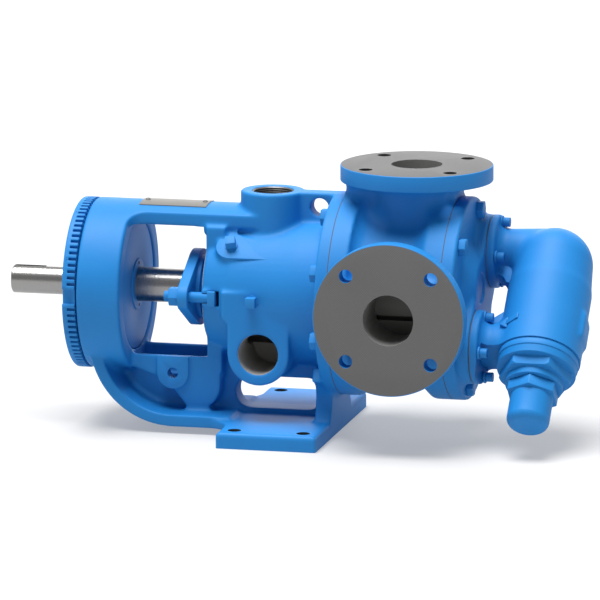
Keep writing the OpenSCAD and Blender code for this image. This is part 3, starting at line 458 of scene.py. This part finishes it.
def cast(node_name, fillers, fillet, voxel, smooth, triangles):
    """Turns a CAD node into a casting: its holes are filled, and its inner corners get fillets."""
    piece = join_pieces(copy_node(node_name, node_name + "_casting"), fillers)
    apply_modifier(piece, "REMESH", mode="VOXEL", voxel_size=voxel * MM)
    apply_modifier(piece, "DISPLACE", strength=fillet * MM, mid_level=0)
    apply_modifier(piece, "REMESH", mode="VOXEL", voxel_size=voxel * MM)
    apply_modifier(piece, "SMOOTH", factor=0.5, iterations=smooth)
    apply_modifier(piece, "DISPLACE", strength=-fillet * MM, mid_level=0)
    apply_modifier(piece, "REMESH", mode="VOXEL", voxel_size=voxel * MM)
    apply_modifier(piece, "SMOOTH", factor=0.5, iterations=smooth)
    count = sum(len(face.vertices) - 2 for face in piece.data.polygons)
    apply_modifier(piece, "DECIMATE", ratio=min(1, triangles / count))
    return piece


def machine(piece, cutters):
    """Cuts the machined faces and holes into a casting, one cutter after another."""
    for cutter in cutters:
        apply_modifier(piece, "BOOLEAN", operation="DIFFERENCE", solver="MANIFOLD", object=cutter)
        bpy.data.objects.remove(cutter)
    return piece


def paint_faces(piece, slot_number, test):
    """Gives the faces that pass a test another material slot."""
    for face in piece.data.polygons:
        if test(face.center, face.normal):
            face.material_index = slot_number


def finish_casting(piece, node_name, materials, sharp=32):
    """Materials, crisp machined edges, body and the CAD node that the casting stands for."""
    piece.data.materials.clear()
    for material in materials:
        piece.data.materials.append(material)
    select_only(piece)
    bpy.ops.object.shade_smooth_by_angle(angle=math.radians(sharp))
    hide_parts(node_name)
    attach(piece, "root")


def around_shaft(radius, angle_from_top, side=1):
    """Y and Z on a circle about the shaft axis, in millimetres."""
    angle = math.radians(angle_from_top)
    return side * radius * math.sin(angle), SHAFT + radius * math.cos(angle)


def port_point(side, along, across, out):
    """Point of a port: along the shaft, across it, and out from the shaft axis."""
    if side == "top":
        return (PORT + along, across, SHAFT + out)
    return (PORT + along, -out, SHAFT + across)


def port_holes(side, inner, outer, radius, sides=64):
    """Rods in the four bolt holes of a port's flange, between two distances from the shaft axis."""
    return [
        rod(
            port_point(side, sx * PORT_HOLE_AT, sy * PORT_HOLE_AT, inner),
            port_point(side, sx * PORT_HOLE_AT, sy * PORT_HOLE_AT, outer), radius, sides,
        )
        for sx in (-1, 1) for sy in (-1, 1)
    ]


def make_casing():
    """Casing with its two flanged ports."""
    back = REACH - PORT_FLANGE_T
    clear_r = 108
    gasket_step = 0.8
    fillers = []
    cutters = []
    for side in ("top", "front"):
        fillers.append(rod(
            port_point(side, 0, 0, REACH - 8), port_point(side, 0, 0, REACH + 5), PORT_FLANGE_R, 128
        ))
        fillers += port_holes(side, back, REACH + 4, PORT_HOLE_R + 0.4)
        cutters += port_holes(side, back - 6, REACH + PAST, PORT_HOLE_R)
        cutters.append(rod(port_point(side, 0, 0, 40), port_point(side, 0, 0, REACH + PAST), PORT_R, 96))
    fillers.append(rod((CASING_X - 4, 0, SHAFT), (CASING_X + 20, 0, SHAFT), FLANGE_R, 128))
    fillers.append(rod((HEAD_X - 18, 0, SHAFT), (HEAD_X + 4, 0, SHAFT), FLANGE_R, 128))
    piece = cast("casing", fillers, fillet=8, voxel=1.7, smooth=5, triangles=110000)
    for side in ("top", "front"):
        cutters.append(disc_sleeve(side))
    cutters.append(rod((CASING_X - 10, 0, SHAFT), (HEAD_X + 10, 0, SHAFT), BORE_R, 128))
    cutters.append(rod((CASING_X - 20, 0, SHAFT), (CASING_X + gasket_step, 0, SHAFT), clear_r, 96))
    cutters.append(rod((HEAD_X - gasket_step, 0, SHAFT), (HEAD_X + 20, 0, SHAFT), clear_r, 96))
    cutters.append(block((-FAR, -FAR, SHAFT + REACH), (FAR, FAR, FAR + SHAFT)))
    cutters.append(block((-FAR, -FAR, -FAR), (FAR, -REACH, FAR)))
    machine(piece, cutters)
    finish_casting(piece, "casing", [PAINT_MATERIAL, MACHINED_IRON, PORT_WALL])
    paint_faces(piece, 1, lambda at, normal: at.z > (SHAFT + REACH - 0.1) * MM or at.y < (-REACH + 0.1) * MM)
    paint_faces(piece, 2, in_port_bore)


def disc_sleeve(side):
    """Cutter that clears the zone of a port's flange disc, for the machined disc."""
    return rod(
        port_point(side, 0, 0, REACH - PORT_FLANGE_T + 0.6), port_point(side, 0, 0, REACH + 12),
        PORT_FLANGE_R + 9, 96,
    )


def make_port_disc(side):
    """Machined flange disc of a port, with its rim and holes slightly rounded."""
    back = REACH - PORT_FLANGE_T
    disc = rod(port_point(side, 0, 0, back), port_point(side, 0, 0, REACH), PORT_FLANGE_R, 160)
    disc.name = side + "_port_disc"
    apply_modifier(disc, "BEVEL", width=0.9 * MM, segments=3, limit_method="ANGLE")
    cutters = [rod(port_point(side, 0, 0, REACH - 30), port_point(side, 0, 0, REACH + PAST), PORT_R, 96)]
    cutters += port_holes(side, back - 6, REACH + PAST, PORT_HOLE_R, 48)
    machine(disc, cutters)
    finish_casting(disc, "casing", [PAINT_MATERIAL, PORT_FACE_IRONS_WITH_PAINTED_SHADE[side], PORT_WALL, HOLE_PAINTED_SHADE])
    face_axis = 2 if side == "top" else 1
    face_at = ((SHAFT + REACH) if side == "top" else -REACH) * MM
    paint_faces(disc, 1, lambda at, normal: abs(at[face_axis] - face_at) < 0.05 * MM)
    paint_faces(disc, 2, in_port_bore)
    if side == "top":
        # The top flange's bolt hole walls get near-black painted shade.
        paint_faces(disc, 3, in_top_hole)


def in_port_bore(at, normal):
    """True for a point on the wall of a port or inside the casing's bore."""
    limit = (PORT_R + 0.3) * MM
    top = math.hypot(at.x - PORT * MM, at.y) < limit and SHAFT * MM < at.z < (SHAFT + REACH - 0.2) * MM
    front = math.hypot(at.x - PORT * MM, at.z - SHAFT * MM) < limit and (-REACH + 0.2) * MM < at.y < 0
    inner = math.hypot(at.y, at.z - SHAFT * MM) < (BORE_R + 0.3) * MM and abs(normal.x) < 0.5
    return top or front or inner


def in_top_hole(at, normal):
    """True for a point on the wall of a bolt hole in the top flange."""
    away = math.hypot(at.x - PORT * MM, at.y)
    return abs(normal.z) < 0.5 and PORT_R * 1.1 * MM < away < (PORT_FLANGE_R - 2) * MM


def make_head():
    """Head with the pads of the relief valve and the boss of the idler pin."""
    pad_r = 36.9
    pin_y, pin_z = -PIN_OFFSET, SHAFT + PIN_OFFSET
    fillers = [rod((HEAD_X - 4, 0, SHAFT), (HEAD_X + HEAD_T, 0, SHAFT), FLANGE_R, 128)]
    for i in range(6):
        y, z = around_shaft(BOLT_CIRCLE, 45 + 60 * i, -1)
        fillers.append(rod((HEAD_X, y, z), (HEAD_X + HEAD_T, y, z), BOLT_SEAT_R))
    for s in (-1, 1):
        y, z = s * VALVE_PORT, SHAFT + s * VALVE_PORT
        fillers.append(rod((HEAD_X, y, z), (PAD_X, y, z), pad_r, 96))
    piece = cast("head", fillers, fillet=4, voxel=1.5, smooth=4, triangles=90000)
    machine(piece, [
        block((-FAR, -FAR, -FAR), (HEAD_X, FAR, FAR)),
        rod((HEAD_X - 5, pin_y, pin_z), (PAD_X + PAST, pin_y, pin_z), PIN_R),
    ])
    finish_casting(piece, "head", [PAINT_MATERIAL])


def add_gland_slots(fillers, cutters):
    """T slots for the heads of the gland bolts, on both sides of the stuffing box."""
    root, filler_rim, rim = 43, 61, 90
    mouth_half, head_half, filler_half = 5.3, 8, 8.2
    mouth_end, head_low, head_high, filler_end = -71.5, -72, -60, -59.8
    for s in (-1, 1):
        inner, outer = sorted((s * root, s * rim))
        low_y, high_y = sorted((s * root, s * filler_rim))
        fillers.append(block(
            (BOX_X + 0.4, low_y + 0.5, SHAFT - filler_half), (filler_end, high_y - 4, SHAFT + filler_half)
        ))
        cutters.append(block(
            (BOX_X - PAST, inner, SHAFT - mouth_half), (mouth_end, outer, SHAFT + mouth_half)
        ))
        cutters.append(block((head_low, inner, SHAFT - head_half), (head_high, outer, SHAFT + head_half)))


def make_bracket():
    """Bracket with its barrel, rail, arm, foot, drip trough and stuffing box."""
    lip_top = 206.4
    fillers = [
        block((-FOOT_HALF_X, -FOOT_HALF_Y, -4), (FOOT_HALF_X, FOOT_HALF_Y, 3)),
        rod((CASING_X - 10, 0, SHAFT), (CASING_X + 4, 0, SHAFT), FLANGE_R, 128),
    ]
    cutters = []
    for x in (-FOOT_HOLE_X, FOOT_HOLE_X):
        for y in (-FOOT_HOLE_Y, FOOT_HOLE_Y):
            fillers.append(rod((x, y, 0), (x, y, FOOT_T), FOOT_HOLE_R + 0.25))
            cutters.append(rod((x, y, -PAST), (x, y, FOOT_T + PAST), FOOT_HOLE_R))
    for i in range(8):
        y, z = around_shaft(BOLT_CIRCLE, 22.5 + 45 * i)
        fillers.append(rod((CASING_X - 12, y, z), (CASING_X, y, z), BOLT_SEAT_R))
    add_gland_slots(fillers, cutters)
    centre = Vector((PLUG_X, 0, SHAFT))
    fillers.append(rod(centre + PLUG_WAY * 50, centre + PLUG_WAY * 67.4, PLUG_R))
    fillers.append(rod((FRONT_PLUG_X, -50, SHAFT), (FRONT_PLUG_X, -68, SHAFT), PLUG_R))
    fillers.append(rod((DRAIN_X, -22, DRAIN_Z), (DRAIN_X, -36, DRAIN_Z), DRAIN_R + 0.5))
    cutters.append(rod((DRAIN_X, -20, DRAIN_Z), (DRAIN_X, -50, DRAIN_Z), DRAIN_R))
    cutters.append(rod((JACKET_X, 0, SHAFT + 40), (JACKET_X, 0, SHAFT + 120), JACKET_PORT_R))
    side_z = SHAFT - SIDE_PORT_DROP
    cutters.append(rod((JACKET_X, 0, side_z), (JACKET_X, -90, side_z), JACKET_PORT_R))
    cutters.append(rod((BARREL_END - PAST, 0, SHAFT), (-125, 0, SHAFT), BARREL_BORE_R, 128))
    cutters.append(rod((BOX_X - PAST, 0, SHAFT), (-12, 0, SHAFT), BOX_BORE_R, 96))
    cutters.append(block((-FAR, -FAR, -FAR), (FAR, FAR, 0)))
    cutters.append(block((CASING_X, -FAR, -FAR), (FAR, FAR, FAR)))
    fillers.append(make_rail_root())
    fillers.append(block((WINDOW_LIP_X, -RAIL_HALF, WINDOW_TOP), (BOX_X + 1, RAIL_HALF, lip_top + 0.6)))
    fillers.append(block((-80, -28, 52.5), (-64, 28, 74.2)))
    fillers.append(block((BOX_X - 0.6, -32.5, 60), (-64, 32.5, SHAFT - 42)))
    piece = cast("bracket", fillers, fillet=2.4, voxel=1.2, smooth=3, triangles=185000)
    cutters.append(block((-137, -60, WINDOW_FLOOR), (WINDOW_LIP_X, 60, lip_top)))
    cutters.append(block((-84, -60, WINDOW_FLOOR), (BOX_X, 60, WINDOW_TOP)))
    machine(piece, cutters)
    finish_casting(piece, "bracket", [PAINT_MATERIAL, JACKET_IRON, HOLE_PAINTED_SHADE])
    # The foot holes' walls get near-black painted shade.
    paint_faces(piece, 2, in_foot_hole)
    paint_faces(piece, 1, in_jacket_port)


def in_foot_hole(at, normal):
    """True for a point on the wall of a hole in the foot."""
    away = math.hypot(abs(at.x) - FOOT_HOLE_X * MM, abs(at.y) - FOOT_HOLE_Y * MM)
    return at.z < (FOOT_T - 0.1) * MM and abs(normal.z) < 0.5 and away < (FOOT_HOLE_R + 0.15) * MM


def make_rail_root():
    """Corner where the barrel's face sweeps into the rail, hollow in plan on both sides."""
    sweep = 18
    start = -158
    end = start + sweep
    outer_r, inner_r, underside = 85.6, 66, 66.7
    edge = RAIL_HALF + sweep
    root = rod((start, 0, SHAFT), (end, 0, SHAFT), outer_r, 128)
    machine(root, [
        rod((start - 5, 0, SHAFT), (end + 5, 0, SHAFT), inner_r, 128),
        block((start - 5, -FAR, -FAR), (end + 5, FAR, SHAFT + underside)),
        block((start - 5, -FAR, -FAR), (end + 5, -edge, FAR)),
        block((start - 5, edge, -FAR), (end + 5, FAR, FAR)),
        rod((end, -edge, SHAFT), (end, -edge, FAR), sweep, 96),
        rod((end, edge, SHAFT), (end, edge, FAR), sweep, 96),
    ])
    return root


def in_jacket_port(at, _normal):
    """True for a point on the wall of a jacket port or in the stuffing box."""
    limit = (JACKET_PORT_R + 0.3) * MM
    side_z = (SHAFT - SIDE_PORT_DROP) * MM
    from_axis = math.hypot(at.x - JACKET_X * MM, at.y)
    top = from_axis < limit and (SHAFT + 40) * MM < at.z < (SHAFT + JACKET_TOP + 0.1) * MM
    side = math.hypot(at.x - JACKET_X * MM, at.z - side_z) < limit and -67.6 * MM < at.y < MM
    chamber = math.hypot(at.y, at.z - SHAFT * MM) < 57 * MM and -79 * MM < at.x < 36 * MM
    return top or side or chamber


def make_valve_body():
    """Relief valve body with its necks and flanges."""
    neck_flange_r, mouth_r, clear_r = 37, 42, 60
    mouth_low, mouth_face, mouth_high = 60, 69, 73
    fillers = []
    for s in (-1, 1):
        y, z = s * -VALVE_PORT, SHAFT - s * VALVE_PORT
        fillers.append(rod((VALVE_FACE_X - 4, y, z), (VALVE_FACE_X + 7.5, y, z), neck_flange_r, 96))
    centre = Vector((VALVE_X, 0, SHAFT))
    fillers.append(rod(centre + VALVE_AXIS * mouth_low, centre + VALVE_AXIS * mouth_high, mouth_r, 96))
    piece = cast("valve_body", fillers, fillet=6, voxel=1.5, smooth=4, triangles=90000)
    machine(piece, [
        block((-FAR, -FAR, -FAR), (VALVE_FACE_X, FAR, FAR)),
        rod(centre + VALVE_AXIS * mouth_face, centre + VALVE_AXIS * 120, clear_r, 64),
    ])
    finish_casting(piece, "valve_body", [PAINT_MATERIAL])


def valve_point(x, s, n):
    """Point by its place along the shaft, down the valve's axis, and out from the plane of both."""
    half = math.sqrt(0.5)
    return (x, (-s - n) * half, SHAFT + (n - s) * half)


def hull_of(name, pieces):
    """One convex piece round several others."""
    piece = join_pieces(pieces[0], pieces[1:])
    piece.name = name
    select_only(piece)
    bpy.ops.object.mode_set(mode="EDIT")
    bpy.ops.mesh.select_all(action="SELECT")
    bpy.ops.mesh.convex_hull()
    bpy.ops.mesh.dissolve_limited(angle_limit=math.radians(1))
    bpy.ops.object.mode_set(mode="OBJECT")
    return piece


def finish_detail(piece, bevel, material=None):
    """Broken edges, material and body of a small cast detail."""
    apply_modifier(
        piece, "BEVEL", width=bevel * MM, segments=2, limit_method="ANGLE", angle_limit=math.radians(35),
        use_clamp_overlap=True,
    )
    piece.data.materials.clear()
    piece.data.materials.append(material or PAINT_MATERIAL)
    select_only(piece)
    bpy.ops.object.shade_smooth_by_angle(angle=math.radians(35))
    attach(piece, "root")


def make_valve_webs():
    """Webs that stiffen both necks of the relief valve where they meet its body."""
    depth = 8
    arch = hull_of("upper_web", [
        rod(valve_point(x, s, -depth), valve_point(x, s, depth), 1, 12)
        for x, s in ((205, -40), (205, -18), (226, -40), (226, -16))
    ])
    machine(arch, [rod(valve_point(205.5, -13, -20), valve_point(205.5, -13, 20), 12, 64)])
    finish_detail(arch, 0.8)
    gusset = hull_of("lower_web", [
        rod(valve_point(x, s, -depth), valve_point(x, s, 1.6 * depth), 1, 12)
        for x, s in ((205, 38), (226, 38), (226, 20))
    ])
    finish_detail(gusset, 0.8)


def make_plug_pad():
    """Flat pad round the upper plug, drawn out to a point along the body."""
    down = Vector((0, -math.cos(PLUG_LEAN), -math.sin(PLUG_LEAN)))
    pad_low, pad_high = 58, 67.8
    pads = []
    for x, drop, radius in ((PLUG_X, 0, 15.6), (-14, 14.5, 1)):
        base = Vector((x, 0, SHAFT)) + down * drop
        pads.append(rod(base + PLUG_WAY * pad_low, base + PLUG_WAY * pad_high, radius, 48))
    finish_detail(hull_of("plug_pad", pads), 0.7)


def make_drain_boss():
    """U-shaped boss round the drain hole of the drip trough."""
    front, root = -36.5, -30
    boss = hull_of("drain_boss", [
        rod((DRAIN_X, root, DRAIN_Z), (DRAIN_X, front, DRAIN_Z), DRAIN_BOSS_R, 64),
        block((DRAIN_X - DRAIN_BOSS_R, front, 60), (DRAIN_X + DRAIN_BOSS_R, root, 74.2)),
    ])
    machine(boss, [rod((DRAIN_X, -20, DRAIN_Z), (DRAIN_X, -60, DRAIN_Z), DRAIN_R, 48)])
    finish_detail(boss, 0.7)


def make_flow_arrow():
    """Raised arrow on the lower neck, pointing at the pump; it climbs from the neck onto the body."""
    low, tip_top, barb_top, tail_top = 22, 27.8, 29.8, 38.7
    head = hull_of("flow_arrow", [
        rod(valve_point(x, s, low), valve_point(x, s, top), 0.5, 12)
        for x, s, top in ((223.5, 47.5, tip_top), (230.5, 41, barb_top), (230.5, 51.5, barb_top))
    ])
    tail = hull_of("arrow_tail", [
        rod(valve_point(x, s, low), valve_point(x, s, top), 0.5, 12)
        for x, s, top in (
            (230, 44, barb_top), (230, 48.5, barb_top), (242, 41, tail_top), (242, 45.5, tail_top)
        )
    ])
    finish_detail(join_pieces(head, [tail]), 0.3)


def make_seal_screws():
    """Heads of the two small screws beside the shaft, in the inboard seal's cover."""
    for z in (SHAFT - 21.3, SHAFT + 21.3):
        screw = rod((-158, 0, z), (-156.9, 0, z), 1.6, 32)
        screw.name = "seal_screw"
        finish_detail(screw, 0.2, RUBBER)


def make_thread(name, start, way, length, radius, pitch=2.2):
    """Lining of a tapped port: V grooves, one for each turn of its thread, from pairs of cones."""
    way = Vector(way)
    depth = 1.25
    wide = radius - 0.1
    narrow = wide - depth
    rings = []
    for i in range(2 * int(length / pitch)):
        low, high = (wide, narrow) if i % 2 == 0 else (narrow, wide)
        bpy.ops.mesh.primitive_cone_add(
            vertices=96, radius1=low * MM, radius2=high * MM, depth=pitch / 2 * MM, end_fill_type="NOTHING",
            location=(Vector(start) + way * (i + 0.5) * pitch / 2) * MM,
            rotation=way.to_track_quat("Z", "Y").to_euler(),
        )
        ring = bpy.context.object
        bpy.ops.object.transform_apply(location=True, rotation=True, scale=True)
        rings.append(ring)
    piece = join_pieces(rings[0], rings[1:])
    piece.name = name
    piece.data.materials.append(THREADED_IRON)
    select_only(piece)
    bpy.ops.object.shade_smooth_by_angle(angle=math.radians(25))
    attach(piece, "root")


def refine(node_name, bevel, body="root"):
    """Copy of a painted CAD node with its sharp edges broken, as cast or turned edges are."""
    piece = copy_node(node_name, node_name + "_finished")
    bpy.ops.object.mode_set(mode="EDIT")
    bpy.ops.mesh.select_all(action="SELECT")
    bpy.ops.mesh.dissolve_limited(angle_limit=math.radians(0.5))
    bpy.ops.object.mode_set(mode="OBJECT")
    apply_modifier(
        piece, "BEVEL", width=bevel * MM, segments=2, limit_method="ANGLE", angle_limit=math.radians(28),
        use_clamp_overlap=True, miter_outer="MITER_ARC",
    )
    apply_modifier(piece, "TRIANGULATE")
    piece.data.materials.append(PAINT_SMOOTH)
    select_only(piece)
    bpy.ops.object.shade_smooth_by_angle(angle=math.radians(35))
    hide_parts(node_name)
    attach(piece, body)


make_casing()
for side in ("top", "front"):
    make_port_disc(side)
make_head()
make_bracket()
make_valve_body()
make_thread("top_jacket_thread", (JACKET_X, 0, SHAFT + JACKET_TOP), (0, 0, -1), 26, JACKET_PORT_R)
make_valve_webs()
make_plug_pad()
make_drain_boss()
make_flow_arrow()
make_seal_screws()
nodes["idler_pin"].data.materials.append(PAINT_SMOOTH)
paint_faces(nodes["idler_pin"], 1, lambda at, normal: normal.x > 0.9)
for name in ("bracket_bolts", "head_bolts", "valve_bolts", "valve_bolt_washers", "pipe_plugs", "gland_bolts"):
    refine(name, 0.5)
for name in ("bearing_carrier", "bearing_end_cap", "bonnet", "valve_cap"):
    refine(name, 0.7)
for name in ("gland", "gland_nuts"):
    refine(name, 0.6, "gland_follower")


# Studio


def make_floor():
    """Pale floor under the pump."""
    bpy.ops.mesh.primitive_plane_add(size=40, location=(0, 0, 0))
    floor = bpy.context.object
    floor.name = "studio_floor"
    material, shader = start_material("pale_floor", (0.36, 0.36, 0.36), 0.9)
    shader.inputs["Emission Color"].default_value = (1, 1, 1, 1)
    shader.inputs["Emission Strength"].default_value = 0.32
    dress(floor, material)


def add_softbox(name, place, target, size, power):
    """Square area light that faces a point."""
    light = bpy.data.lights.new(name, "AREA")
    light.shape = "SQUARE"
    light.size = size
    light.energy = power
    lamp = bpy.data.objects.new(name, light)
    bpy.context.scene.collection.objects.link(lamp)
    lamp.location = place
    lamp.rotation_euler = (Vector(target) - Vector(place)).to_track_quat("-Z", "Y").to_euler()
    lamp.visible_camera = False


def add_overhead(name, way_up, strength, angle):
    """Broad, even light from above, like a large diffuser."""
    light = bpy.data.lights.new(name, "SUN")
    light.energy = strength
    light.angle = math.radians(angle)
    lamp = bpy.data.objects.new(name, light)
    bpy.context.scene.collection.objects.link(lamp)
    lamp.rotation_euler = Vector(way_up).to_track_quat("Z", "Y").to_euler()


def make_world(strength):
    """Even white surroundings, seen by the camera as plain white."""
    world = bpy.data.worlds.new("studio_white")
    world.use_nodes = True
    links = world.node_tree.links
    lit = world.node_tree.nodes["Background"]
    lit.inputs[0].default_value = (1, 1, 1, 1)
    lit.inputs[1].default_value = strength
    plain = world.node_tree.nodes.new("ShaderNodeBackground")
    plain.inputs[0].default_value = (1, 1, 1, 1)
    plain.inputs[1].default_value = 1.0
    path = world.node_tree.nodes.new("ShaderNodeLightPath")
    pick = world.node_tree.nodes.new("ShaderNodeMixShader")
    links.new(path.outputs["Is Camera Ray"], pick.inputs[0])
    links.new(lit.outputs[0], pick.inputs[1])
    links.new(plain.outputs[0], pick.inputs[2])
    links.new(pick.outputs[0], world.node_tree.nodes["World Output"].inputs[0])
    bpy.context.scene.world = world


def make_camera():
    """Long lens at the photograph's angle: 1 mm on the pump is one picture unit of 600."""
    azimuth = math.radians(13)
    elevation = math.radians(11)
    aim = Vector((8.36 * MM, 0, 130.2 * MM))
    frame_width = 600 * MM
    camera_data = bpy.data.cameras.new("photo_camera")
    camera_data.lens = 500
    camera_data.sensor_width = 36
    camera_data.clip_end = 100
    distance = frame_width * camera_data.lens / camera_data.sensor_width
    way = Vector((
        math.sin(azimuth) * math.cos(elevation),
        -math.cos(azimuth) * math.cos(elevation),
        math.sin(elevation),
    ))
    camera = bpy.data.objects.new("photo_camera", camera_data)
    bpy.context.scene.collection.objects.link(camera)
    camera.location = aim + way * distance
    camera.rotation_euler = (-way).to_track_quat("-Z", "Y").to_euler()
    bpy.context.scene.camera = camera


make_floor()
make_world(0.36)
add_overhead("overhead_light", way_up=(-0.12, -0.12, 1), strength=5.2, angle=40)
add_softbox("back_box", place=(-0.2, 3.0, 1.2), target=(0, 0, 0.14), size=2.4, power=40)
make_camera()
bpy.context.scene.view_settings.view_transform = "Standard"
